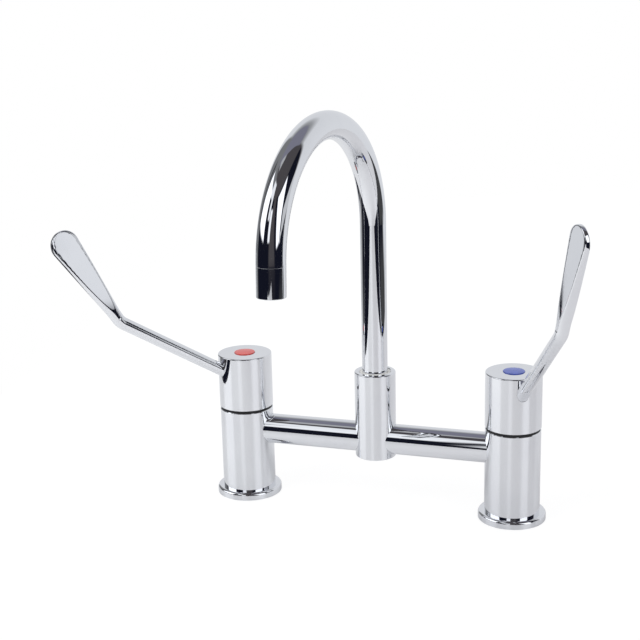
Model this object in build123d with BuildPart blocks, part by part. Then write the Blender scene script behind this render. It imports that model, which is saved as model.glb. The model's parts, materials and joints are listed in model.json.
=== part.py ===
from build123d import *
from math import asin, atan2, cos, degrees, hypot, pi, radians, sin, tan
import os

# Bridge faucet. +Z is up, +X runs along the bridge from the hot to the cold pillar, and the user
# stands on the -Y side. The origin is midway between the two pillars, on the deck. Millimetres.

# ---- pillars and bridge ----
pillar_spacing = 200.0
body_radius = 19.6
body_top = 66.6
body_foot_radius = 17.5
flange_radius = 24.0
flange_thickness = 5.5
flange_edge_radius = 2.2
bridge_height = 50.6
bridge_radius = 10.95
bridge_bore_radius = 9.0
bridge_pillar_seat = 15.6  # from a pillar's axis to the end of its bridge tube
bridge_tee_seat = 9.6  # from the tee's axis to the other end
bridge_port_radius = 7.6
tee_radius = 14.8
tee_bottom = 37.7
tee_top = 101.4
edge_break = 0.4
edge_round = 0.8

# ---- waterway of a pillar ----
inlet_radius = 9.315  # bore of a half-inch pipe thread
inlet_depth = 14.0
port_radius = 6.0
seat_height = 30.0
chamber_radius = 13.0
chamber_top = 59.0

# ---- seals at the deck and under the cap ----
deck_seal_inner = 19.0
deck_seal_outer = 21.4
deck_seal_depth = 1.4
glide_ring_inner = 16.6
glide_ring_radius = 19.0
glide_ring_thickness = 1.4

# ---- cartridge: a quarter-turn ceramic-disc valve ----
thread_radius = 10.4
sleeve_radius = 9.8
sleeve_lift = 0.6  # the sleeve ends this far above the seat, so that the seal is squeezed
disc_chamber_radius = 8.4
disc_radius = 8.2
disc_thickness = 3.5
disc_lug_radius = 9.6
disc_lug_width = 3.0
disc_port_radius = 2.1
disc_port_offset = 4.2
seal_inner = 6.4
seal_height = 3.0
driver_width = 5.0
driver_height = 5.4
driver_tang_radius = 1.2
driver_tang_depth = 1.5
window_width = 9.0
window_margin = 1.0
gasket_thickness = 1.0
gasket_radius = 12.0
hex_flats = 24.0
hex_height = 7.0
neck_radius = 8.0
neck_height = 7.6
stem_radius = 4.6
stem_seal_section = 1.1
stem_seal_heights = (60.0, 66.0)
clip_radius = 6.6
clip_thickness = 0.9
clip_groove_radius = 3.7
clip_opening = 50.0

# ---- cap, its screw and its index button ----
cap_radius = 19.8
cap_height = 40.0
cap_gap = 0.3
skirt_radius = 17.2
skirt_depth = 16.2
spline_teeth = 16
spline_radius = 4.0
spline_tooth = 0.4
spline_base_gap = 0.5
spline_top_depth = 11.3  # below the top of the cap
index_radius = 7.5
index_seat_depth = 2.6  # below the top of the cap
index_edge_rise = 0.5
index_dome = 0.35
index_rim = 0.3
index_boss_depth = 1.0
screw_shank_radius = 2.45
screw_length = 12.0
screw_bore_radius = 2.7
screw_seat_depth = 7.8  # below the top of the cap
screw_head_radius = 4.2
screw_head_height = 3.0
screw_well_radius = 4.6
screw_socket_flats = 3.0
screw_socket_depth = 1.6

# ---- levers: the same forging on both sides, each set at its own tilt ----
lever_root_depth = 9.9  # below the top of the cap
lever_radius = 4.45
lever_reach = 89.0  # from the cap's wall to the corner of the bend
lever_bend = 26.6
lever_bend_radius = 14.0
blade_length = 78.7  # from the corner of the bend to the tip
blade_width = 20.4
blade_neck = 5.0  # from the end of the bend to where the flanks start to spread
blade_flare_radius = 90.0
blade_flat_start = 1.5  # from the end of the bend to the points where the flats begin
blade_tip_thickness = 3.0
blade_twist = 11.0  # the blade's flats are turned this far out of the lever's upright plane
lever_socket_depth = 6.5
stud_radius = 2.9
stud_length = 7.0
stud_end_gap = 0.5
hot_lever_azimuth = 227.3
hot_lever_rise = 32.5
hot_open_azimuth = 180.0
cold_lever_azimuth = -61.3
cold_lever_rise = 42.1
cold_open_azimuth = 0.0

# ---- spout and its swivel ----
spout_radius = 9.17
spout_bore_radius = 7.5
spout_turn = -7.6  # the resting spout is turned this far from straight ahead
arch_radius = 76.2
arch_centre_height = 208.8
arch_angle = 177.4
outlet_straight = 1.2
tee_bore_radius = 8.0
tee_floor = 41.0
socket_radius = 11.2
socket_floor = 64.5
rim_chamfer = 0.5
bush_shoulder = 86.0
bush_bore_radius = 6.0
spigot_length = 12.0
spout_seal_section = 1.3
spout_seal_heights = (69.0, 74.5)
bearing_ring_top = 101.0
bearing_ring_gap = 0.3
swivel_each_way = 55.0  # from straight ahead
swivel_groove_height = 82.5
swivel_groove_depth = 1.9
grub_radius = 2.5
grub_point_radius = 1.5
grub_point_gap = 0.2
grub_inner = 11.6
grub_outer = 14.2
grub_socket_flats = 2.5
grub_socket_depth = 1.6

# ---- outlet ----
outlet_socket_depth = 6.5
outlet_socket_radius = 8.2
aerator_length = 19.1
aerator_spigot = 5.0
aerator_bore_radius = 6.9
aerator_lip_radius = 5.8
aerator_lip = 1.3
aerator_seam = 0.3
washer_inner = 5.9
core_height = 8.0
core_wall = 0.95
core_plate = 1.5
core_hub = (2.2, 1.5, 5.5)  # radius at the plate, radius at the tip, height of the tip
core_jets = 12
core_jet_radius = 0.7
core_jet_circle = 4.1
screen_thickness = 0.8
screen_pitch = 2.0
screen_hole = 1.4
screen_rows = 5

# ---- fits ----
fit = 0.05  # radial clearance of round pieces, seated or running
seat_gap = 0.1  # axial clearance where a piece must not bottom
groove_slack = 0.2

HALF = pillar_spacing / 2
PAST = 1.0  # a cut runs this far past the face it opens
HOT, COLD = -1, 1
sleeve_bottom = seat_height + sleeve_lift
fixed_disc_base = seat_height + seal_height
fixed_disc_top = fixed_disc_base + disc_thickness
moving_disc_base = fixed_disc_top + fit
driver_base = moving_disc_base + disc_thickness
driver_top = driver_base + driver_height
hex_base = body_top + gasket_thickness
neck_base = hex_base + hex_height
neck_top = neck_base + neck_height
clip_base = neck_top + cap_gap
cap_base = body_top + glide_ring_thickness + cap_gap
cap_top = cap_base + cap_height
skirt_top = cap_base + skirt_depth
spline_base = skirt_top - spline_base_gap
spline_top = cap_top - spline_top_depth
screw_head_base = cap_top - screw_seat_depth
index_seat = cap_top - index_seat_depth
index_boss_base = index_seat - index_boss_depth
swivel_groove_floor = socket_radius - fit - swivel_groove_depth
point_allowance = degrees(asin((grub_point_radius + grub_point_gap) / swivel_groove_floor))
core_top = aerator_length - aerator_lip - screen_thickness - core_height


def finish(built, name):
    """Label a finished piece and write it under its own name."""
    built.part.label = name
    export_step(built.part, f"parts/{name}.step")


def upright(x, azimuth=0.0):
    """A half-section plane on the upright axis at x: its own x is a radius and its y a height."""
    turn = radians(azimuth)
    return Plane(origin=(x, 0, 0), x_dir=(cos(turn), sin(turn), 0), z_dir=(sin(turn), -cos(turn), 0))


def level(frame, height):
    """The plane square to a half-section plane's axis, at this height along it."""
    return Plane(origin=frame.origin + frame.y_dir * height, x_dir=frame.x_dir, z_dir=frame.y_dir)


def turned(frame, outline, mode=Mode.ADD, sweep_angle=360.0):
    """Turn an outline of (radius, height) points about the frame's axis."""
    with BuildSketch(frame) as section:
        with BuildLine():
            Polyline(*outline, close=True)
        make_face()
    revolve(section.sketch, axis=Axis(frame.origin, frame.y_dir), revolution_arc=sweep_angle, mode=mode)


def ring(frame, inner, outer, low, high, mode=Mode.ADD):
    """A ring of rectangular section about the frame's axis, or a plain cylinder when inner is 0."""
    turned(frame, [(inner, low), (outer, low), (outer, high), (inner, high)], mode)


def o_ring(frame, outer, section_radius, height):
    """A round-section seal that reaches this outer radius."""
    with BuildSketch(frame) as section:
        with Locations((outer - section_radius, height)):
            Circle(section_radius)
    revolve(section.sketch, axis=Axis(frame.origin, frame.y_dir))


def o_ring_groove(frame, outer, section_radius, height):
    """The groove that an O-ring of this size lies in."""
    half_width = section_radius + groove_slack / 2
    floor = outer - 2 * section_radius - fit
    ring(frame, floor, outer + PAST, height - half_width, height + half_width, Mode.SUBTRACT)


def spline_outline(radius):
    """A toothed circle: crests at this radius, and roots one tooth depth inside it."""
    pitch = 2 * pi / spline_teeth
    points = []
    for tooth in range(spline_teeth):
        for share, inset in ((-0.18, 0.0), (0.18, 0.0), (0.32, spline_tooth), (0.68, spline_tooth)):
            angle = (tooth + share) * pitch
            points.append(((radius - inset) * cos(angle), (radius - inset) * sin(angle)))
    with BuildLine() as outline:
        Polyline(*points, close=True)
    make_face(outline.edges())


def outer_rim(built, end):
    """The widest circular edge at the lowest (0) or highest (-1) end of an upright turned piece."""
    return built.edges().filter_by(GeomType.CIRCLE).group_by(Axis.Z)[end].sort_by(SortBy.RADIUS)[-1]


def lever_axis(x, azimuth, rise):
    """Where a lever's centre line leaves its cap, and the way a line of this rise points."""
    out = Vector(cos(radians(azimuth)), sin(radians(azimuth)), 0)
    root = Vector(x, 0, cap_top - lever_root_depth) + out * cap_radius
    return root, out * cos(radians(rise)) + Vector(0, 0, sin(radians(rise)))


# ---- a pillar, from the deck up ----

def make_flange(name, axis):
    """The base ring that the pillar stands on."""
    with BuildPart() as flange:
        ring(axis, body_foot_radius + fit, flange_radius, 0, flange_thickness)
        fillet(outer_rim(flange, -1), flange_edge_radius)
        groove = (deck_seal_inner - fit, deck_seal_outer + fit)
        ring(axis, *groove, -PAST, deck_seal_depth, Mode.SUBTRACT)
    finish(flange, f"{name}_flange")


def make_deck_seal(name, axis):
    """The square-section ring in the flange's underside."""
    with BuildPart() as seal:
        ring(axis, deck_seal_inner, deck_seal_outer, 0, deck_seal_depth)
    finish(seal, f"{name}_deck_seal")


def make_pillar_body(name, axis, side):
    """The pillar: pipe inlet below, cartridge chamber above, and the bridge socket in its side."""
    with BuildPart() as body:
        turned(axis, [
            (0, 0), (body_foot_radius, 0), (body_foot_radius, flange_thickness),
            (body_radius, flange_thickness), (body_radius, body_top), (0, body_top),
        ])
        chamfer(outer_rim(body, -1), edge_break)
        ring(axis, 0, inlet_radius, -PAST, inlet_depth, Mode.SUBTRACT)
        ring(axis, 0, port_radius, inlet_depth - PAST, seat_height + PAST, Mode.SUBTRACT)
        ring(axis, 0, chamber_radius, seat_height, chamber_top, Mode.SUBTRACT)
        ring(axis, 0, thread_radius + fit, chamber_top - PAST, body_top + PAST, Mode.SUBTRACT)
        outside = side * (HALF - body_radius - PAST)
        seat = side * (HALF - bridge_pillar_seat)
        ring(bridge, 0, bridge_port_radius, side * HALF, outside, Mode.SUBTRACT)
        ring(bridge, 0, bridge_radius + fit, seat, outside, Mode.SUBTRACT)
    finish(body, f"{name}_pillar_body")


def make_glide_ring(name, axis):
    """The low-friction ring that shows as the black seam under the cap."""
    with BuildPart() as glide:
        ring(axis, glide_ring_inner, glide_ring_radius, body_top, body_top + glide_ring_thickness)
    finish(glide, f"{name}_glide_ring")


def make_bridge_tube(name, side):
    """The tube that carries one side's water to the tee."""
    with BuildPart() as tube:
        ends = (side * (HALF - bridge_pillar_seat), side * bridge_tee_seat)
        ring(bridge, bridge_bore_radius, bridge_radius, *ends)
    finish(tube, f"{name}_bridge_tube")


# ---- a cartridge, from its seat up ----

def make_base_seal(name, axis):
    """The rubber ring between the pillar's seat and the fixed disc."""
    with BuildPart() as seal:
        ring(axis, seal_inner, disc_radius, seat_height, fixed_disc_base)
    finish(seal, f"{name}_base_seal")


def make_fixed_disc(name, axis):
    """The lower ceramic disc, with two lugs that keep it from turning in the sleeve."""
    with BuildPart() as disc:
        with BuildSketch(level(axis, fixed_disc_base)):
            Rectangle(2 * disc_lug_radius + PAST, disc_lug_width)
            Circle(disc_lug_radius, mode=Mode.INTERSECT)
            Circle(disc_radius)
            with PolarLocations(disc_port_offset, 2):
                Circle(disc_port_radius, mode=Mode.SUBTRACT)
        extrude(amount=disc_thickness)
    finish(disc, f"{name}_fixed_disc")


def make_moving_disc(name, axis, shut_by):
    """The upper ceramic disc. Its ports stand this many degrees from the fixed ones."""
    with BuildPart() as disc:
        with BuildSketch(level(axis, moving_disc_base)):
            Circle(disc_radius)
            with PolarLocations(disc_port_offset, 2, start_angle=shut_by):
                Circle(disc_port_radius, mode=Mode.SUBTRACT)
        extrude(amount=disc_thickness)
        with BuildSketch(level(axis, driver_base)):
            with PolarLocations(disc_port_offset, 2, start_angle=shut_by + 90):
                Circle(driver_tang_radius + fit)
        extrude(amount=-(driver_tang_depth + seat_gap), mode=Mode.SUBTRACT)
    finish(disc, f"{name}_moving_disc")


def make_cartridge_bonnet(name, axis):
    """The brass body of the cartridge: windowed sleeve, thread, hexagon and neck."""
    with BuildPart() as bonnet:
        turned(axis, [
            (0, sleeve_bottom), (sleeve_radius, sleeve_bottom), (sleeve_radius, chamber_top),
            (thread_radius, chamber_top), (thread_radius, hex_base), (neck_radius, hex_base),
            (neck_radius, neck_top), (0, neck_top),
        ])
        with BuildSketch(level(axis, hex_base)):
            RegularPolygon(hex_flats / 2, 6, major_radius=False)
        extrude(amount=hex_height)
        ring(axis, 0, disc_chamber_radius, sleeve_bottom - PAST, driver_top + seat_gap, Mode.SUBTRACT)
        ring(axis, 0, stem_radius + fit, driver_top, neck_top + PAST, Mode.SUBTRACT)
        across = 2 * (sleeve_radius + PAST)
        with BuildSketch(level(axis, sleeve_bottom)):
            Rectangle(across, disc_lug_width + 2 * fit)
        extrude(amount=fixed_disc_top + seat_gap - sleeve_bottom, mode=Mode.SUBTRACT)
        with BuildSketch(level(axis, driver_base + window_margin)):
            Rectangle(across, window_width)
            Rectangle(window_width, across)
        extrude(amount=driver_height - 2 * window_margin, mode=Mode.SUBTRACT)
    finish(bonnet, f"{name}_cartridge_bonnet")


def make_bonnet_gasket(name, axis):
    """The flat ring under the bonnet's hexagon."""
    with BuildPart() as gasket:
        ring(axis, thread_radius + fit, gasket_radius, body_top, hex_base)
    finish(gasket, f"{name}_bonnet_gasket")


def make_spindle(name, axis, shut_by):
    """The stem that the cap turns: driver bar and tangs below, spline and tapped hole above."""
    with BuildPart() as spindle:
        ring(axis, 0, stem_radius, driver_base, spline_base)
        with BuildSketch(level(axis, driver_base)):
            Rectangle(2 * disc_chamber_radius, driver_width, rotation=shut_by + 90)
            Circle(disc_radius, mode=Mode.INTERSECT)
        extrude(amount=driver_height)
        with BuildSketch(level(axis, driver_base)):
            with PolarLocations(disc_port_offset, 2, start_angle=shut_by + 90):
                Circle(driver_tang_radius)
        extrude(amount=-driver_tang_depth)
        with BuildSketch(level(axis, spline_base)):
            spline_outline(spline_radius)
        extrude(amount=spline_top - spline_base)
        for height in stem_seal_heights:
            o_ring_groove(axis, stem_radius, stem_seal_section, height)
        groove = (clip_base - groove_slack / 2, clip_base + clip_thickness + groove_slack / 2)
        ring(axis, clip_groove_radius, stem_radius + PAST, *groove, Mode.SUBTRACT)
        drill = screw_head_base - screw_length - PAST
        ring(axis, 0, screw_shank_radius + fit, drill, spline_top + PAST, Mode.SUBTRACT)
    finish(spindle, f"{name}_spindle")


def make_spindle_o_rings(name, axis):
    """The two seals that keep water below the neck."""
    with BuildPart() as seals:
        for height in stem_seal_heights:
            o_ring(axis, stem_radius, stem_seal_section, height)
    finish(seals, f"{name}_spindle_o_rings")


def make_spindle_clip(name, axis):
    """The open ring above the neck that keeps the spindle from dropping."""
    with BuildPart() as clip:
        with BuildSketch(level(axis, clip_base)):
            Circle(clip_radius)
            Circle(clip_groove_radius + fit, mode=Mode.SUBTRACT)
            with BuildLine():
                wing = clip_radius * tan(radians(clip_opening / 2)) + PAST
                Polyline((0, 0), (clip_radius + PAST, wing), (clip_radius + PAST, -wing), close=True)
            make_face(mode=Mode.SUBTRACT)
        extrude(amount=clip_thickness)
    finish(clip, f"{name}_spindle_clip")


# ---- a handle ----

def make_cap(name, axis, azimuth, rise):
    """The cap: a hollow skirt below, and in its crown the spline, the screw, the index and the lever."""
    with BuildPart() as cap:
        ring(axis, 0, cap_radius, cap_base, cap_top)
        fillet(outer_rim(cap, -1), edge_round)
        chamfer(outer_rim(cap, 0), edge_break)
        ring(axis, 0, skirt_radius, cap_base - PAST, skirt_top, Mode.SUBTRACT)
        with BuildSketch(level(axis, skirt_top - PAST)):
            spline_outline(spline_radius + fit)
        extrude(amount=spline_top + seat_gap - skirt_top + PAST, mode=Mode.SUBTRACT)
        ring(axis, 0, screw_bore_radius, spline_top, screw_head_base + PAST, Mode.SUBTRACT)
        ring(axis, 0, screw_well_radius, screw_head_base, cap_top + PAST, Mode.SUBTRACT)
        turned(axis, [
            (0, index_seat), (index_radius, index_seat), (index_radius, cap_top - index_rim),
            (index_radius + index_rim, cap_top), (index_radius + index_rim, cap_top + PAST),
            (0, cap_top + PAST),
        ], Mode.SUBTRACT)
        root, along = lever_axis(axis.origin.X, azimuth, rise)
        with BuildSketch(Plane(origin=root - along * lever_socket_depth, z_dir=along)):
            Circle(lever_radius + fit)
        extrude(amount=lever_socket_depth + 2 * lever_radius, mode=Mode.SUBTRACT)
        stud_end = lever_socket_depth + stud_length + stud_end_gap
        with BuildSketch(Plane(origin=root - along * stud_end, z_dir=along)):
            Circle(stud_radius + fit)
        extrude(amount=stud_end - lever_socket_depth + PAST, mode=Mode.SUBTRACT)
    finish(cap, f"{name}_cap")


def make_handle_screw(name, axis):
    """The socket-head screw that holds the cap down on the spindle."""
    head_top = screw_head_base + screw_head_height
    with BuildPart() as screw:
        turned(axis, [
            (0, screw_head_base - screw_length), (screw_shank_radius, screw_head_base - screw_length),
            (screw_shank_radius, screw_head_base), (screw_head_radius, screw_head_base),
            (screw_head_radius, head_top), (0, head_top),
        ])
        with BuildSketch(level(axis, head_top)):
            RegularPolygon(screw_socket_flats / 2, 6, major_radius=False)
        extrude(amount=-screw_socket_depth, mode=Mode.SUBTRACT)
    finish(screw, f"{name}_handle_screw")


def make_index_button(name, axis):
    """The coloured button in the cap's crown: a shallow dome with a boss that snaps into the well."""
    radius = index_radius - fit
    edge = cap_top + index_edge_rise
    with BuildPart() as button:
        with BuildSketch(axis):
            with BuildLine():
                Polyline(
                    (0, edge + index_dome), (0, index_boss_base), (screw_well_radius - fit, index_boss_base),
                    (screw_well_radius - fit, index_seat), (radius, index_seat), (radius, edge),
                )
                TangentArc((0, edge + index_dome), (radius, edge), tangent=(1, 0))
            make_face()
        revolve(axis=Axis(axis.origin, axis.y_dir))
    finish(button, f"{name}_index_button")


def make_blade(start, way, across, length):
    """The blade: a flaring round bar with a round end, cut to a wedge by two flats."""
    tip_radius = blade_width / 2
    tip_centre = length - tip_radius
    spread = tip_centre - blade_neck
    flare = asin(tip_radius / hypot(lever_radius, spread)) - atan2(lever_radius, spread)
    contact = (tip_radius * cos(flare), tip_centre - tip_radius * sin(flare))
    taper = (lever_radius - blade_tip_thickness / 2) / (length - blade_flat_start)
    root_half = lever_radius + taper * blade_flat_start
    tip_half = blade_tip_thickness / 2
    face_way = across.cross(way)
    with BuildPart() as blade:
        with BuildSketch(Plane(origin=start, x_dir=across, z_dir=face_way)) as profile:
            with BuildLine():
                Polyline((0, length), (0, 0), (lever_radius, 0), (lever_radius, blade_neck), contact)
                CenterArc((0, tip_centre), tip_radius, -degrees(flare), 90 + degrees(flare))
            make_face()
            fillet(profile.vertices().sort_by_distance((lever_radius, blade_neck))[0], blade_flare_radius)
        revolve(axis=Axis(start, way))
        with BuildSketch(Plane(origin=start, x_dir=face_way, z_dir=face_way.cross(way))):
            Polygon((-root_half, 0), (root_half, 0), (tip_half, length), (-tip_half, length), align=None)
        extrude(amount=blade_width, both=True, mode=Mode.INTERSECT)
    return blade.part


def make_lever(name, axis, azimuth, rise):
    """The lever: stud, round rod and bend, then a blade that widens as it thins, to a round tip."""
    root, along = lever_axis(axis.origin.X, azimuth, rise)
    blade_way = lever_axis(axis.origin.X, azimuth, rise + lever_bend)[1]
    side = Vector(-sin(radians(azimuth)), cos(radians(azimuth)), 0)
    twist = radians(blade_twist)
    across = side * sin(twist) - blade_way.cross(side) * cos(twist)
    corner = root + along * lever_reach
    bend_share = lever_bend_radius * tan(radians(lever_bend / 2))
    bend_start = corner - along * bend_share
    bend_end = corner + blade_way * bend_share
    socket_end = root - along * lever_socket_depth
    blade = make_blade(bend_end, blade_way, across, blade_length - bend_share)
    with BuildPart() as lever:
        with BuildSketch(Plane(origin=socket_end, z_dir=along)):
            Circle(stud_radius)
        extrude(amount=-stud_length)
        with BuildLine():
            Line(socket_end, bend_start)
            TangentArc(bend_start, bend_end, tangent=along)
        with BuildSketch(Plane(origin=socket_end, z_dir=along)):
            Circle(lever_radius)
        sweep()
        add(blade)
    finish(lever, f"{name}_lever")


os.makedirs("parts", exist_ok=True)
centre = upright(0)
bridge = Plane(origin=(0, 0, bridge_height), x_dir=(0, 0, 1), z_dir=(0, 1, 0))

for name, side, azimuth, rise, open_azimuth in (
    ("hot", HOT, hot_lever_azimuth, hot_lever_rise, hot_open_azimuth),
    ("cold", COLD, cold_lever_azimuth, cold_lever_rise, cold_open_azimuth),
):
    axis = upright(side * HALF)
    shut_by = azimuth - open_azimuth
    make_flange(name, axis)
    make_deck_seal(name, axis)
    make_pillar_body(name, axis, side)
    make_glide_ring(name, axis)
    make_bridge_tube(name, side)
    make_base_seal(name, axis)
    make_fixed_disc(name, axis)
    make_moving_disc(name, axis, shut_by)
    make_cartridge_bonnet(name, axis)
    make_bonnet_gasket(name, axis)
    make_spindle(name, axis, shut_by)
    make_spindle_o_rings(name, axis)
    make_spindle_clip(name, axis)
    make_cap(name, axis, azimuth, rise)
    make_handle_screw(name, axis)
    make_index_button(name, axis)
    make_lever(name, axis, azimuth, rise)

# ---- tee and swivel ----

# The tee gathers both tubes below and holds the spout's bush above.
with BuildPart() as tee_body:
    ring(centre, 0, tee_radius, tee_bottom, tee_top)
    fillet(outer_rim(tee_body, -1), edge_round)
    fillet(outer_rim(tee_body, 0), edge_round)
    ring(centre, 0, tee_bore_radius, tee_floor, socket_floor + PAST, Mode.SUBTRACT)
    turned(centre, [
        (0, socket_floor), (socket_radius, socket_floor), (socket_radius, tee_top - rim_chamfer),
        (socket_radius + rim_chamfer, tee_top), (socket_radius + rim_chamfer, tee_top + PAST),
        (0, tee_top + PAST),
    ], Mode.SUBTRACT)
    for side in (HOT, COLD):
        outside = side * (tee_radius + PAST)
        ring(bridge, 0, bridge_port_radius, 0, outside, Mode.SUBTRACT)
        ring(bridge, 0, bridge_radius + fit, side * bridge_tee_seat, outside, Mode.SUBTRACT)
    grub = level(centre, swivel_groove_height)
    ring(grub, 0, grub_radius + fit, tee_bore_radius, tee_radius + PAST, Mode.SUBTRACT)
finish(tee_body, "tee_body")

with BuildPart() as spout_grub_screw:
    point_end = swivel_groove_floor + grub_point_gap
    turned(grub, [
        (0, point_end), (grub_point_radius, point_end), (grub_point_radius, grub_inner),
        (grub_radius, grub_inner), (grub_radius, grub_outer), (0, grub_outer),
    ])
    with BuildSketch(level(grub, grub_outer)):
        RegularPolygon(grub_socket_flats / 2, 6, major_radius=False)
    extrude(amount=-grub_socket_depth, mode=Mode.SUBTRACT)
finish(spout_grub_screw, "spout_grub_screw")

with BuildPart() as spout_bearing_ring:
    low = bush_shoulder + bearing_ring_gap
    ring(centre, spout_radius + fit, socket_radius - fit, low, bearing_ring_top)
finish(spout_bearing_ring, "spout_bearing_ring")

# The bush turns in the tee's socket. The screw's point runs in its part-way groove and ends its travel.
with BuildPart() as spout_bush:
    bush_radius = socket_radius - fit
    spigot_radius = spout_bore_radius - fit
    ring(centre, bush_bore_radius, bush_radius, socket_floor + seat_gap, bush_shoulder)
    ring(centre, bush_bore_radius, spigot_radius, bush_shoulder, bush_shoulder + spigot_length)
    for height in spout_seal_heights:
        o_ring_groove(centre, bush_radius, spout_seal_section, height)
    half_groove = swivel_each_way + point_allowance
    half_width = grub_point_radius + grub_point_gap
    turned(upright(0, 90 + spout_turn - half_groove), [
        (swivel_groove_floor, swivel_groove_height - half_width),
        (bush_radius + PAST, swivel_groove_height - half_width),
        (bush_radius + PAST, swivel_groove_height + half_width),
        (swivel_groove_floor, swivel_groove_height + half_width),
    ], Mode.SUBTRACT, 2 * half_groove)
finish(spout_bush, "spout_bush")

with BuildPart() as spout_o_rings:
    for height in spout_seal_heights:
        o_ring(centre, bush_radius, spout_seal_section, height)
finish(spout_o_rings, "spout_o_rings")

# ---- spout tube ----

arch = upright(0, spout_turn - 90)
lean = radians(180 - arch_angle)
arch_end = (arch_radius * (1 + cos(lean)), arch_centre_height + arch_radius * sin(lean))
seam = (arch_end[0] + outlet_straight * sin(lean), arch_end[1] - outlet_straight * cos(lean))
outlet = Plane(
    origin=arch.from_local_coords((seam[0], seam[1], 0)),
    x_dir=arch.x_dir * cos(lean) + arch.y_dir * sin(lean),
    z_dir=-arch.z_dir,
)

with BuildPart() as spout_tube:
    with BuildLine(arch) as centre_line:
        Line((0, bush_shoulder), (0, arch_centre_height))
        CenterArc((arch_radius, arch_centre_height), arch_radius, 180, -arch_angle)
        Line(arch_end, seam)
    path = centre_line.wire()
    for radius, mode in ((spout_radius, Mode.ADD), (spout_bore_radius, Mode.SUBTRACT)):
        with BuildSketch(level(centre, bush_shoulder)) as section:
            Circle(radius)
        sweep(path=path, mode=mode)
    ring(outlet, 0, outlet_socket_radius, -outlet_socket_depth, PAST, Mode.SUBTRACT)
finish(spout_tube, "spout_tube")

# ---- outlet fittings: heights run down the outlet from the seam ----

with BuildPart() as aerator_housing:
    lip_top = aerator_length - aerator_lip
    turned(outlet, [
        (aerator_bore_radius, -aerator_spigot), (outlet_socket_radius - fit, -aerator_spigot),
        (outlet_socket_radius - fit, 0), (spout_radius - aerator_seam, 0), (spout_radius, aerator_seam),
        (spout_radius, aerator_length - edge_break), (spout_radius - edge_break, aerator_length),
        (aerator_lip_radius, aerator_length), (aerator_lip_radius, lip_top), (aerator_bore_radius, lip_top),
    ])
finish(aerator_housing, "aerator_housing")

with BuildPart() as aerator_washer:
    ring(outlet, washer_inner, outlet_socket_radius - fit, -outlet_socket_depth, -aerator_spigot)
finish(aerator_washer, "aerator_washer")

# The core breaks the water into jets round a small diffuser cone.
with BuildPart() as aerator_core:
    core_radius = aerator_bore_radius - fit
    hub_radius, hub_tip_radius, hub_height = core_hub
    turned(outlet, [
        (0, core_top), (core_radius, core_top), (core_radius, core_top + core_height),
        (core_radius - core_wall, core_top + core_height), (core_radius - core_wall, core_top + core_plate),
        (hub_radius, core_top + core_plate), (hub_tip_radius, core_top + hub_height),
        (0, core_top + hub_height),
    ])
    with BuildSketch(level(outlet, core_top)):
        with PolarLocations(core_jet_circle, core_jets):
            Circle(core_jet_radius)
    extrude(amount=core_plate, mode=Mode.SUBTRACT)
finish(aerator_core, "aerator_core")

with BuildPart() as aerator_screens:
    for height in (core_top - screen_thickness, core_top + core_height):
        ring(outlet, 0, core_radius, height, height + screen_thickness)
        with BuildSketch(level(outlet, height)):
            with GridLocations(screen_pitch, screen_pitch, screen_rows, screen_rows):
                Rectangle(screen_hole, screen_hole)
            Circle(aerator_lip_radius - fit, mode=Mode.INTERSECT)
        extrude(amount=screen_thickness, mode=Mode.SUBTRACT)
finish(aerator_screens, "aerator_screens")
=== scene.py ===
import bpy
import json
from math import asin, atan2, cos, degrees, hypot, pi, radians, sin, sqrt, tan
from mathutils import Matrix, Vector


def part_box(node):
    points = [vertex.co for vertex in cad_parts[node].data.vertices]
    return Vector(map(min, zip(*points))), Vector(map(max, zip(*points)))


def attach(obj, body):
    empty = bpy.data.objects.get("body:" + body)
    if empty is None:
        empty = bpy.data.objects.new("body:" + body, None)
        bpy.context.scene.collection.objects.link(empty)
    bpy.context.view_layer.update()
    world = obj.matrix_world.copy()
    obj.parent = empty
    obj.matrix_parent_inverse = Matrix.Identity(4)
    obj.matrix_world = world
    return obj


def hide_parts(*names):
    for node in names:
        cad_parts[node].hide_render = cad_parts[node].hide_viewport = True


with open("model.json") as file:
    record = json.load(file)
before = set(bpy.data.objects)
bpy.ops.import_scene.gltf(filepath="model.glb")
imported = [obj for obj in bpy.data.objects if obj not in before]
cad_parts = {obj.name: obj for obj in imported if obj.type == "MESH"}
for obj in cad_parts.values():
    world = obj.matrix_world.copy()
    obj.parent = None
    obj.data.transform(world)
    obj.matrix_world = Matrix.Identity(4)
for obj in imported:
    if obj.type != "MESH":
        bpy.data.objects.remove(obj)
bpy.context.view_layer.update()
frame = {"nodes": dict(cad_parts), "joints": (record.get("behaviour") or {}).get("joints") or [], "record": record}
nodes = frame["nodes"]

# ---- camera: fitted to the photograph ----
CAMERA_YAW = radians(18.358)
CAMERA_PITCH = radians(15.162)
CAMERA_ROLL = radians(-1.435)
CAMERA_TARGET = Vector((-0.040572, 0.0, 0.136609))
CAMERA_DISTANCE = 0.909427
CAMERA_LENS = 70.997
SENSOR_WIDTH = 36.0  # like the lens, in millimetres
# The way from the object to the camera, as a heading from +X, anticlockwise.
CAMERA_HEADING = CAMERA_YAW - pi / 2


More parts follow.
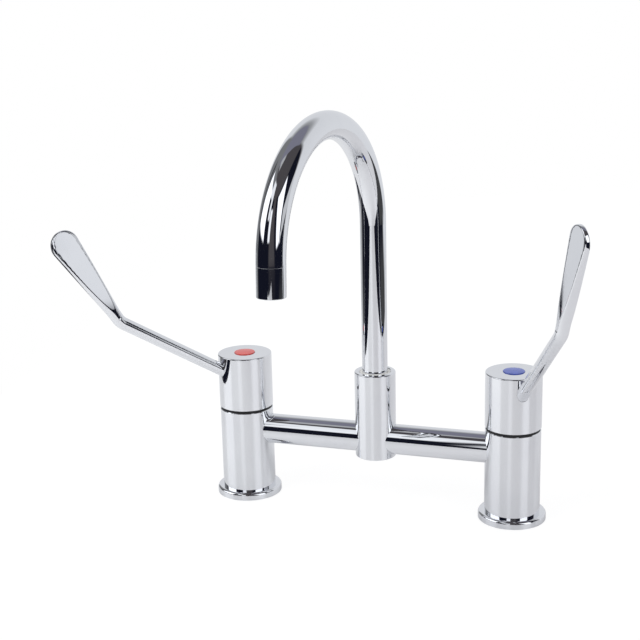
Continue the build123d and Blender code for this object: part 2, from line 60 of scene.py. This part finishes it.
class Graph:
    """A node tree with short calls for making and joining its nodes."""

    def __init__(self, tree):
        self.tree = tree
        tree.nodes.clear()

    def node(self, kind, inputs=None, **settings):
        made = self.tree.nodes.new(kind)
        for name, value in settings.items():
            setattr(made, name, value)
        for name, value in (inputs or {}).items():
            self.feed(made.inputs[name], value)
        return made

    def feed(self, socket, value):
        if isinstance(value, bpy.types.NodeSocket):
            self.tree.links.new(value, socket)
        else:
            socket.default_value = value

    def math(self, operation, a, b=0.0, c=0.0):
        made = self.tree.nodes.new("ShaderNodeMath")
        made.operation = operation
        for socket, value in zip(made.inputs, (a, b, c)):
            self.feed(socket, value)
        return made.outputs[0]

    def step(self, value, low, high):
        """0 below low and 1 above high, smooth between them."""
        made = self.node("ShaderNodeMapRange", interpolation_type="SMOOTHSTEP")
        for name, number in (("Value", value), ("From Min", low), ("From Max", high)):
            self.feed(made.inputs[name], number)
        return made.outputs["Result"]

    def band(self, value, low, high, soft):
        """1 between low and high, fading to 0 over soft on each side."""
        rise = self.step(value, low - soft, low + soft)
        fall = self.step(value, high - soft, high + soft)
        return self.math("MULTIPLY", rise, self.math("SUBTRACT", 1.0, fall))

    def mix(self, factor, a, b):
        made = self.node("ShaderNodeMix", data_type="RGBA")
        self.feed(made.inputs[0], factor)
        self.feed(made.inputs[6], a)
        self.feed(made.inputs[7], b)
        return made.outputs[2]

    def noise(self, vector, scale, detail=2.0, roughness=0.5):
        made = self.node(
            "ShaderNodeTexNoise", {"Scale": scale, "Detail": detail, "Roughness": roughness},
        )
        self.feed(made.inputs["Vector"], vector)
        return made.outputs["Fac"]


def grey(value):
    return (value, value, value, 1.0)


def material(name):
    """A new material, and the graph to fill it with."""
    made = bpy.data.materials.new(name)
    made.use_nodes = True
    return made, Graph(made.node_tree)


def surface(g, **inputs):
    """Closes a material's graph with one Principled shader."""
    shader = g.node("ShaderNodeBsdfPrincipled")
    for name, value in inputs.items():
        g.feed(shader.inputs[name.replace("_", " ")], value)
    out = g.node("ShaderNodeOutputMaterial")
    g.feed(out.inputs["Surface"], shader.outputs["BSDF"])


def bumped(g, height, distance):
    """A normal that follows this height, where a height of 1 stands this many metres proud."""
    made = g.node("ShaderNodeBump", {"Strength": 1.0, "Distance": distance})
    g.feed(made.inputs["Height"], height)
    return made.outputs["Normal"]


def place(g):
    """The point on the object, in metres, so that a pattern has its real scale and moves along."""
    return g.node("ShaderNodeTexCoord").outputs["Object"]


# How deep each finish's relief is, in metres, and how close the tool marks of turned metal lie.
RIPPLE = 0.00001
GLOSS_GRAIN = 0.000003
TOOL_MARK_DEPTH = 0.00001
TOOL_MARKS = 9000.0
MOULD_GRAIN = 0.00002


def polished_chrome():
    """Bright nickel-chrome plate: nearly a mirror, with a faint ripple and a light haze."""
    made, g = material("polished_chrome")
    where = place(g)
    ripple = g.noise(where, 40.0, 1.0)
    peel = g.noise(where, 1200.0, 2.0)
    height = g.math("ADD", ripple, g.math("MULTIPLY", peel, 0.01))
    haze = g.noise(where, 30.0, 4.0, 0.6)
    rough = g.math("ADD", 0.025, g.math("MULTIPLY", g.step(haze, 0.45, 0.8), 0.03))
    colour = g.mix(g.step(haze, 0.35, 0.75), (0.845, 0.855, 0.875, 1), (0.815, 0.825, 0.85, 1))
    surface(g, Base_Color=colour, Metallic=1.0, Roughness=rough, Normal=bumped(g, height, RIPPLE))
    return made


def index_plastic(name, deep, light):
    """A coloured button: pigment under a thin gloss, a little paler in faint clouds."""
    made, g = material(name)
    where = place(g)
    cloud = g.noise(where, 260.0, 3.0)
    fine = g.noise(where, 700.0)
    colour = g.mix(g.step(cloud, 0.3, 0.7), deep, light)
    rough = g.math("ADD", 0.1, g.math("MULTIPLY", fine, 0.06))
    surface(g, Base_Color=colour, Roughness=rough, Normal=bumped(g, fine, GLOSS_GRAIN))
    return made


def turned_metal(name, colour, worn, rough):
    """Machined metal: fine rings about the upright axis, with a little tarnish between them."""
    made, g = material(name)
    where = place(g)
    rings = g.node(
        "ShaderNodeTexWave", {"Scale": TOOL_MARKS, "Distortion": 0.4, "Detail": 1.0},
        bands_direction="Z",
    )
    g.feed(rings.inputs["Vector"], where)
    cloud = g.noise(where, 80.0, 4.0)
    shade = g.mix(g.step(cloud, 0.3, 0.8), colour, worn)
    roughness = g.math("ADD", rough, g.math("MULTIPLY", cloud, 0.12))
    surface(
        g, Base_Color=shade, Metallic=1.0, Roughness=roughness,
        Normal=bumped(g, rings.outputs["Fac"], TOOL_MARK_DEPTH),
    )
    return made


def plain_solid(name, colour, other, rough, grain, coat=0.0):
    """Moulded or pressed stuff: two close tones and a fine grain."""
    made, g = material(name)
    where = place(g)
    cloud = g.noise(where, 120.0, 3.0)
    fine = g.noise(where, grain, 2.0)
    shade = g.mix(g.step(cloud, 0.3, 0.75), colour, other)
    roughness = g.math("ADD", rough, g.math("MULTIPLY", fine, 0.1))
    surface(
        g, Base_Color=shade, Roughness=roughness, Coat_Weight=coat, Coat_Roughness=0.1,
        Normal=bumped(g, fine, MOULD_GRAIN),
    )
    return made


finishes = {
    "chrome": polished_chrome(),
    "brass": turned_metal("turned_brass", (0.72, 0.53, 0.25, 1), (0.60, 0.43, 0.20, 1), 0.22),
    "steel": turned_metal("stainless_steel", (0.62, 0.62, 0.63, 1), (0.52, 0.52, 0.54, 1), 0.24),
    "ceramic": plain_solid(
        "lapped_ceramic", (0.88, 0.87, 0.83, 1), (0.82, 0.81, 0.77, 1), 0.2, 1500.0, 0.3,
    ),
    "rubber": plain_solid(
        "seal_rubber", (0.018, 0.018, 0.019, 1), (0.03, 0.03, 0.03, 1), 0.55, 2200.0,
    ),
    "black_nylon": plain_solid(
        "black_nylon", (0.004, 0.004, 0.005, 1), (0.008, 0.008, 0.009, 1), 0.5, 1800.0,
    ),
    "white_nylon": plain_solid(
        "white_nylon", (0.80, 0.80, 0.78, 1), (0.74, 0.74, 0.72, 1), 0.4, 1800.0,
    ),
    "index_red": index_plastic("index_red", (0.58, 0.07, 0.062, 1), (0.64, 0.09, 0.078, 1)),
    "index_blue": index_plastic("index_blue", (0.06, 0.10, 0.40, 1), (0.08, 0.12, 0.47, 1)),
}
slot_of = {row["node"]: row["material_slot"] for row in frame["record"]["subparts"]}
for name, piece in nodes.items():
    for slot in piece.material_slots:
        slot.material = finishes[slot_of[name]]


# ---- levers: the form of the CAD levers, with the blade's edges eased ----
# Side, heading, rise of the rod, and turn of the blade's flats out of the lever's upright plane.
LEVERS = (
    ("hot", radians(227.3), radians(32.5), radians(11.0)),
    ("cold", radians(-61.3), radians(42.1), radians(5.5)),
)
LEVER_ROOT_DEPTH = 0.0099  # below the top of the cap
LEVER_RADIUS = 0.00445
LEVER_REACH = 0.089
LEVER_BEND = radians(26.6)
LEVER_BEND_RADIUS = 0.014
LEVER_SOCKET = 0.0065
STUD_RADIUS = 0.0029
STUD_LENGTH = 0.007
BLADE_LENGTH = 0.0787
BLADE_WIDTH = 0.0204
BLADE_NECK = 0.005
BLADE_FLARE_RADIUS = 0.09
BLADE_FLAT_START = 0.0015
BLADE_TIP_THICKNESS = 0.003
BLADE_EASE = 0.0006
EASE_SHARE = 0.8  # the most of the blade's half-thickness that the easing takes
# How finely the skin is divided.
RING_POINTS = 160
ROD_STEPS = 24
BEND_STEPS = 12
BLADE_STEPS = 70
BLADE_CROWDING = 1.3  # above 1, the rings lie closer near the bend, where the flats start
TIP_STEPS = 36
HALVINGS = 22
TIP_RADIUS = BLADE_WIDTH / 2
BEND_SHARE = LEVER_BEND_RADIUS * tan(LEVER_BEND / 2)
BLADE_END = BLADE_LENGTH - BEND_SHARE
TIP_CENTRE = BLADE_END - TIP_RADIUS
SPREAD = TIP_CENTRE - BLADE_NECK
FLARE = asin(TIP_RADIUS / hypot(LEVER_RADIUS, SPREAD)) - atan2(LEVER_RADIUS, SPREAD)
FLARE_SHARE = BLADE_FLARE_RADIUS * tan(FLARE / 2)
TAPER = (LEVER_RADIUS - BLADE_TIP_THICKNESS / 2) / (BLADE_END - BLADE_FLAT_START)


def flank(height):
    """The blade's half-width at this height along it, before the flats are cut."""
    past = height - (BLADE_NECK - FLARE_SHARE)
    if past <= 0:
        return LEVER_RADIUS
    if height < BLADE_NECK + FLARE_SHARE * cos(FLARE):
        return LEVER_RADIUS + BLADE_FLARE_RADIUS - sqrt(BLADE_FLARE_RADIUS**2 - past**2)
    return LEVER_RADIUS + (height - BLADE_NECK) * tan(FLARE)


def outside(height, across, through):
    """How far a point lies outside the blade, whose sides meet its flats over an eased edge."""
    contact = TIP_CENTRE - TIP_RADIUS * sin(FLARE)
    if height > contact:
        round_side = sqrt(across**2 + through**2 + (height - TIP_CENTRE) ** 2) - TIP_RADIUS
    else:
        round_side = (hypot(across, through) - flank(height)) * cos(FLARE)
    half = LEVER_RADIUS - TAPER * (height - BLADE_FLAT_START)
    flat_side = abs(through) - half
    ease = min(BLADE_EASE, EASE_SHARE * half)
    corner = hypot(max(round_side + ease, 0.0), max(flat_side + ease, 0.0)) - ease
    return max(round_side, flat_side) if corner <= -ease else corner


def blade_ring(height):
    """The blade's outline at this height, as radii at evenly spread angles."""
    radii = []
    for step in range(RING_POINTS // 4 + 1):
        angle = pi / 2 * step / (RING_POINTS // 4)
        low, high = 0.0, 1.1 * TIP_RADIUS
        for _ in range(HALVINGS):
            middle = (low + high) / 2
            if outside(height, middle * cos(angle), middle * sin(angle)) > 0:
                high = middle
            else:
                low = middle
        radii.append(low)
    quarter = radii[:-1]
    return quarter + radii[:0:-1] + quarter + radii[:0:-1]


def lever(name, side_name, azimuth, rise, twist):
    """One lever as a single skin of rings: stud, rod, bend and blade."""
    axis = joint_places[f"{side_name}_lever_turn"]
    cap_low, cap_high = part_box(f"{side_name}_cap")
    cap_radius = (cap_high.x - cap_low.x) / 2
    out = Vector((cos(azimuth), sin(azimuth), 0.0))
    side = Vector((-sin(azimuth), cos(azimuth), 0.0))
    upright = Vector((0.0, 0.0, 1.0))
    root = Vector((axis.x, axis.y, cap_high.z - LEVER_ROOT_DEPTH)) + out * cap_radius
    rings = []

    def ring(centre, tilt, radii):
        """Adds one ring square to the lever where it rises at this tilt."""
        way = out * cos(tilt) + upright * sin(tilt)
        wide = side * sin(twist) - way.cross(side) * cos(twist)
        deep = wide.cross(way)
        count = len(radii)
        rings.append([
            centre + (wide * cos(2 * pi * k / count) + deep * sin(2 * pi * k / count)) * radii[k]
            for k in range(count)
        ])

    def plain(centre, tilt, radius):
        ring(centre, tilt, [radius] * RING_POINTS)

    along = out * cos(rise) + upright * sin(rise)
    socket_end = root - along * LEVER_SOCKET
    for back in (STUD_LENGTH, 0.0):
        plain(socket_end - along * back, rise, STUD_RADIUS)
    corner = root + along * LEVER_REACH
    bend_start = corner - along * BEND_SHARE
    straight = (bend_start - socket_end).length
    for step in range(ROD_STEPS + 1):
        plain(socket_end + along * (straight * step / ROD_STEPS), rise, LEVER_RADIUS)
    inward = out * -sin(rise) + upright * cos(rise)
    hub = bend_start + inward * LEVER_BEND_RADIUS
    for step in range(1, BEND_STEPS + 1):
        tilt = rise + LEVER_BEND * step / BEND_STEPS
        away = out * sin(tilt) - upright * cos(tilt)
        plain(hub + away * LEVER_BEND_RADIUS, tilt, LEVER_RADIUS)
    tilt = rise + LEVER_BEND
    way = out * cos(tilt) + upright * sin(tilt)
    bend_end = corner + way * BEND_SHARE
    heights = [
        TIP_CENTRE * (step / BLADE_STEPS) ** BLADE_CROWDING for step in range(1, BLADE_STEPS + 1)
    ]
    heights += [
        TIP_CENTRE + TIP_RADIUS * sin(pi / 2 * step / TIP_STEPS) for step in range(1, TIP_STEPS)
    ]
    for height in heights:
        ring(bend_end + way * height, tilt, blade_ring(height))

    points = [point for row in rings for point in row]
    points += [socket_end - along * STUD_LENGTH, bend_end + way * BLADE_END]
    faces = []
    for row in range(len(rings) - 1):
        for k in range(RING_POINTS):
            after = (k + 1) % RING_POINTS
            low, high = row * RING_POINTS, (row + 1) * RING_POINTS
            faces.append((low + k, low + after, high + after, high + k))
    last = (len(rings) - 1) * RING_POINTS
    for k in range(RING_POINTS):
        after = (k + 1) % RING_POINTS
        faces.append((after, k, len(points) - 2))
        faces.append((last + k, last + after, len(points) - 1))
    mesh = bpy.data.meshes.new(name)
    mesh.from_pydata(points, [], faces)
    mesh.validate()
    stud_faces = RING_POINTS * 2
    for face in mesh.polygons:
        face.use_smooth = face.index >= stud_faces
    mesh.materials.append(finishes["chrome"])
    made = bpy.data.objects.new(name, mesh)
    bpy.context.collection.objects.link(made)
    return made


joint_places = {row["name"]: Vector(row["pos_m"]) for row in frame["joints"]}
for side_name, azimuth, rise, twist in LEVERS:
    piece = lever(f"{side_name}_lever_eased", side_name, azimuth, rise, twist)
    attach(piece, f"{side_name}_handle")
    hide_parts(f"{side_name}_lever")


# ---- table: a sheet of glossy white board ----
# Each side is (heading from the camera's side in degrees, distance from the middle in metres).
TABLE_SIDES = ((-100.0, 0.385), (-20.0, 1.37), (72.0, 0.45), (125.0, 1.2), (195.0, 1.2))
BOARD_ROUGHNESS = 0.31
FIBRE_DEPTH = 0.00003
PAINTED_SHADE_ENDS = (-0.25, 0.25)  # painted shade: the board's colour turns a little darker between these, from left to right, for light that falls off across the table
SEEN_GLOW = 1.06  # what the camera sees of the board's own white, and how much of it
SEEN_SHARE = 0.86
corners = []
for index, (turn, reach) in enumerate(TABLE_SIDES):
    next_turn, next_reach = TABLE_SIDES[(index + 1) % len(TABLE_SIDES)]
    a, b = radians(turn) + CAMERA_HEADING, radians(next_turn) + CAMERA_HEADING
    spread = cos(a) * sin(b) - sin(a) * cos(b)
    corners.append((
        (reach * sin(b) - next_reach * sin(a)) / spread,
        (next_reach * cos(a) - reach * cos(b)) / spread,
        0.0,
    ))
table_mesh = bpy.data.meshes.new("table_top")
table_mesh.from_pydata(corners, [], [tuple(range(len(corners)))])
table = bpy.data.objects.new("table_top", table_mesh)
bpy.context.collection.objects.link(table)
board, g = material("white_board")
light_path = g.node("ShaderNodeLightPath")
where = place(g)
fibre = g.noise(where, 900.0, 3.0)
split = g.node("ShaderNodeSeparateXYZ")
g.feed(split.inputs[0], where)
# painted shade: the white board's colour darkens from left to right, standing in for the light falling off across
# it
painted_shade = g.step(split.outputs[0], *PAINTED_SHADE_ENDS)
shaded_tone = g.mix(painted_shade, (0.82, 0.83, 0.85, 1), (0.68, 0.68, 0.705, 1))
shader = g.node("ShaderNodeBsdfPrincipled", {"Roughness": BOARD_ROUGHNESS})
g.feed(shader.inputs["Base Color"], g.mix(g.math("MULTIPLY", fibre, 0.1), shaded_tone, grey(0.9)))
g.feed(shader.inputs["Normal"], bumped(g, fibre, FIBRE_DEPTH))
glow = g.node("ShaderNodeEmission", {"Color": grey(1.0), "Strength": SEEN_GLOW})
blend = g.node("ShaderNodeMixShader")
g.feed(blend.inputs[0], g.math("MULTIPLY", light_path.outputs["Is Camera Ray"], SEEN_SHARE))
g.feed(blend.inputs[1], shader.outputs["BSDF"])
g.feed(blend.inputs[2], glow.outputs[0])
g.feed(g.node("ShaderNodeOutputMaterial").inputs["Surface"], blend.outputs[0])
table_mesh.materials.append(board)

# ---- world: the studio round the table, as polished metal sees it ----
# All of it stands still in the room. A turn is a heading from the side the photograph was taken
# from, positive to the right, and a rise is a height above the horizon, both in degrees.
world = bpy.data.worlds.new("studio")
bpy.context.scene.world = world
world.use_nodes = True
g = Graph(world.node_tree)
way = g.node("ShaderNodeTexCoord").outputs["Generated"]
split = g.node("ShaderNodeSeparateXYZ")
g.feed(split.inputs[0], way)
x, y, z = split.outputs
rise = g.math("MULTIPLY", g.math("ARCSINE", z), 180 / pi)
heading = g.math("MULTIPLY", g.math("ARCTAN2", y, x), 180 / pi)
turn = g.math("WRAP", g.math("SUBTRACT", heading, degrees(CAMERA_HEADING)), 180.0, -180.0)
away = g.math("ABSOLUTE", turn)


def cool(value):
    """The grey of the studio's walls, a little towards blue."""
    return (0.97 * value, 0.99 * value, 1.03 * value, 1.0)


def tones(value, *stops):
    """A soft ladder of greys, from (place, grey) pairs."""
    ramp = g.node("ShaderNodeValToRGB")
    ladder = ramp.color_ramp.elements
    while len(ladder) < len(stops):
        ladder.new(1.0)
    for step, (at, level) in zip(ladder, stops):
        step.position = at
        step.color = cool(level)
    g.feed(ramp.inputs[0], value)
    return ramp.outputs[0]


def panel(colour, turns, rises, level, soft=1.5, leans=(0.0, 0.0)):
    """Lays one panel over the studio, of this grey or colour, fading over soft on each side.

    A lean slides the panel's left or right edge by that much for each degree of rise.
    """
    past_edge = []
    for edge, lean in zip(turns, leans):
        slid = g.math("SUBTRACT", turn, g.math("MULTIPLY", rise, lean)) if lean else turn
        past_edge.append(g.step(slid, edge - soft, edge + soft))
    across = g.math("MULTIPLY", past_edge[0], g.math("SUBTRACT", 1.0, past_edge[1]))
    shape = g.math("MULTIPLY", across, g.band(rise, *rises, soft))
    return g.mix(shape, colour, level if isinstance(level, tuple) else cool(level))


# The walls: a dark ceiling in front, and a pale wall at the back that darkens upwards.
CEILING = (0.072, 0.067, 0.072, 1.0)
HIGH_BACK = (0.205, 0.205, 0.26, 1.0)
ROOM = (0.007, 0.008, 0.016, 1.0)
EVEN_LIGHT = 0.75
BACK_TURNS = (92.0, 99.0)
HIGH_BACK_TURNS = (90.0, 94.0)
HIGH_BACK_RISES = (54.0, 60.0)
height_share = g.math("DIVIDE", rise, 90.0)
back_wall = tones(height_share, (0.0, 0.78), (0.44, 0.74), (0.58, 0.36), (0.70, 0.21), (1.0, 0.17))
colour = g.mix(g.step(away, *BACK_TURNS), CEILING, back_wall)
high_back = g.math("MULTIPLY", g.step(away, *HIGH_BACK_TURNS), g.step(rise, *HIGH_BACK_RISES))
colour = g.mix(high_back, colour, HIGH_BACK)
# the dim left side, with a dark upright in it
colour = panel(colour, (-151.0, -60.0), (-95.0, 60.0), 0.21, 3.0)
colour = panel(colour, (-126.0, -117.0), (4.0, 42.0), 0.07)
# the dark room in front, with a dim patch between its windows
colour = panel(colour, (-112.0, 92.0), (-95.0, 45.0), ROOM, 2.0)
colour = panel(colour, (-16.0, 25.0), (-7.0, 47.0), CEILING, 5.0, (0.0, -0.54))
# the left window, a strip beside it, their light on the ceiling, the middle and the right window
colour = panel(colour, (-110.0, -62.0), (9.0, 48.0), 1.5, 2.0, (0.1, 0.0))
colour = panel(colour, (-45.0, -32.0), (28.0, 54.0), 1.0)
colour = panel(colour, (-62.0, -33.0), (44.0, 58.0), 0.95, 1.5)
colour = panel(colour, (-100.0, -68.0), (65.0, 80.0), 0.45, 3.0)
colour = panel(colour, (-29.0, -14.0), (11.0, 37.0), 1.1)
colour = panel(colour, (39.0, 58.5), (1.0, 42.0), 1.4, 1.5, (-0.53, 0.0))
# pale cards that the hot lever's flat and its edge mirror
colour = panel(colour, (61.6, 65.6), (-0.7, 4.2), 0.85, 0.5)
colour = panel(colour, (65.6, 97.0), (1.0, 14.0), 0.6, 1.0)
# the dark floor beyond the table
colour = panel(colour, (60.0, 110.0), (-95.0, -12.0), 0.06)
colour = panel(colour, (-152.0, -127.0), (-95.0, -17.5), ROOM)
# a pale card that the cold lever's flat mirrors
colour = panel(colour, (-143.0, -129.5), (-19.0, -8.0), 0.74, 0.7)

# Polished metal mirrors the studio, matt surfaces get an even light, and the camera sees white.
seen = g.node("ShaderNodeBackground", {"Strength": 1.0})
g.feed(seen.inputs["Color"], colour)
soft = g.node("ShaderNodeBackground", {"Color": grey(1.0), "Strength": EVEN_LIGHT})
white = g.node("ShaderNodeBackground", {"Color": grey(1.0), "Strength": 1.0})
light_path = g.node("ShaderNodeLightPath")
mirror = g.node("ShaderNodeMixShader")
g.feed(mirror.inputs[0], light_path.outputs["Is Glossy Ray"])
g.feed(mirror.inputs[1], soft.outputs[0])
g.feed(mirror.inputs[2], seen.outputs[0])
whole = g.node("ShaderNodeMixShader")
g.feed(whole.inputs[0], light_path.outputs["Is Camera Ray"])
g.feed(whole.inputs[1], mirror.outputs[0])
g.feed(whole.inputs[2], white.outputs[0])
g.feed(g.node("ShaderNodeOutputWorld").inputs["Surface"], whole.outputs[0])


def lamp(name, location, size, power):
    """A soft square lamp aimed at the faucet, which polished metal doesn't mirror."""
    data = bpy.data.lights.new(name, "AREA")
    data.shape = "RECTANGLE"
    data.size = data.size_y = size
    data.energy = power
    made = bpy.data.objects.new(name, data)
    bpy.context.collection.objects.link(made)
    made.location = location
    made.rotation_mode = "QUATERNION"
    made.rotation_quaternion = (LAMP_TARGET - Vector(location)).to_track_quat("-Z", "Y")
    made.visible_glossy = False


LAMP_TARGET = Vector((0.0, 0.0, 0.1))
lamp("key", (-0.9, -1.1, 1.5), 0.9, 14.0)
lamp("fill", (1.2, -0.6, 1.1), 0.8, 6.0)

# ---- camera ----
back = Vector((
    sin(CAMERA_YAW) * cos(CAMERA_PITCH), -cos(CAMERA_YAW) * cos(CAMERA_PITCH), sin(CAMERA_PITCH),
))
level = Vector((cos(CAMERA_YAW), sin(CAMERA_YAW), 0.0))
upward = back.cross(level)
right = level * cos(CAMERA_ROLL) + upward * sin(CAMERA_ROLL)
up = upward * cos(CAMERA_ROLL) - level * sin(CAMERA_ROLL)
data = bpy.data.cameras.new("camera")
data.sensor_width = SENSOR_WIDTH
data.lens = CAMERA_LENS
camera = bpy.data.objects.new("camera", data)
bpy.context.collection.objects.link(camera)
turned = Matrix((right, up, back)).transposed().to_4x4()
camera.matrix_world = Matrix.Translation(CAMERA_TARGET + back * CAMERA_DISTANCE) @ turned
bpy.context.scene.camera = camera
bpy.context.scene.view_settings.view_transform = "Standard"
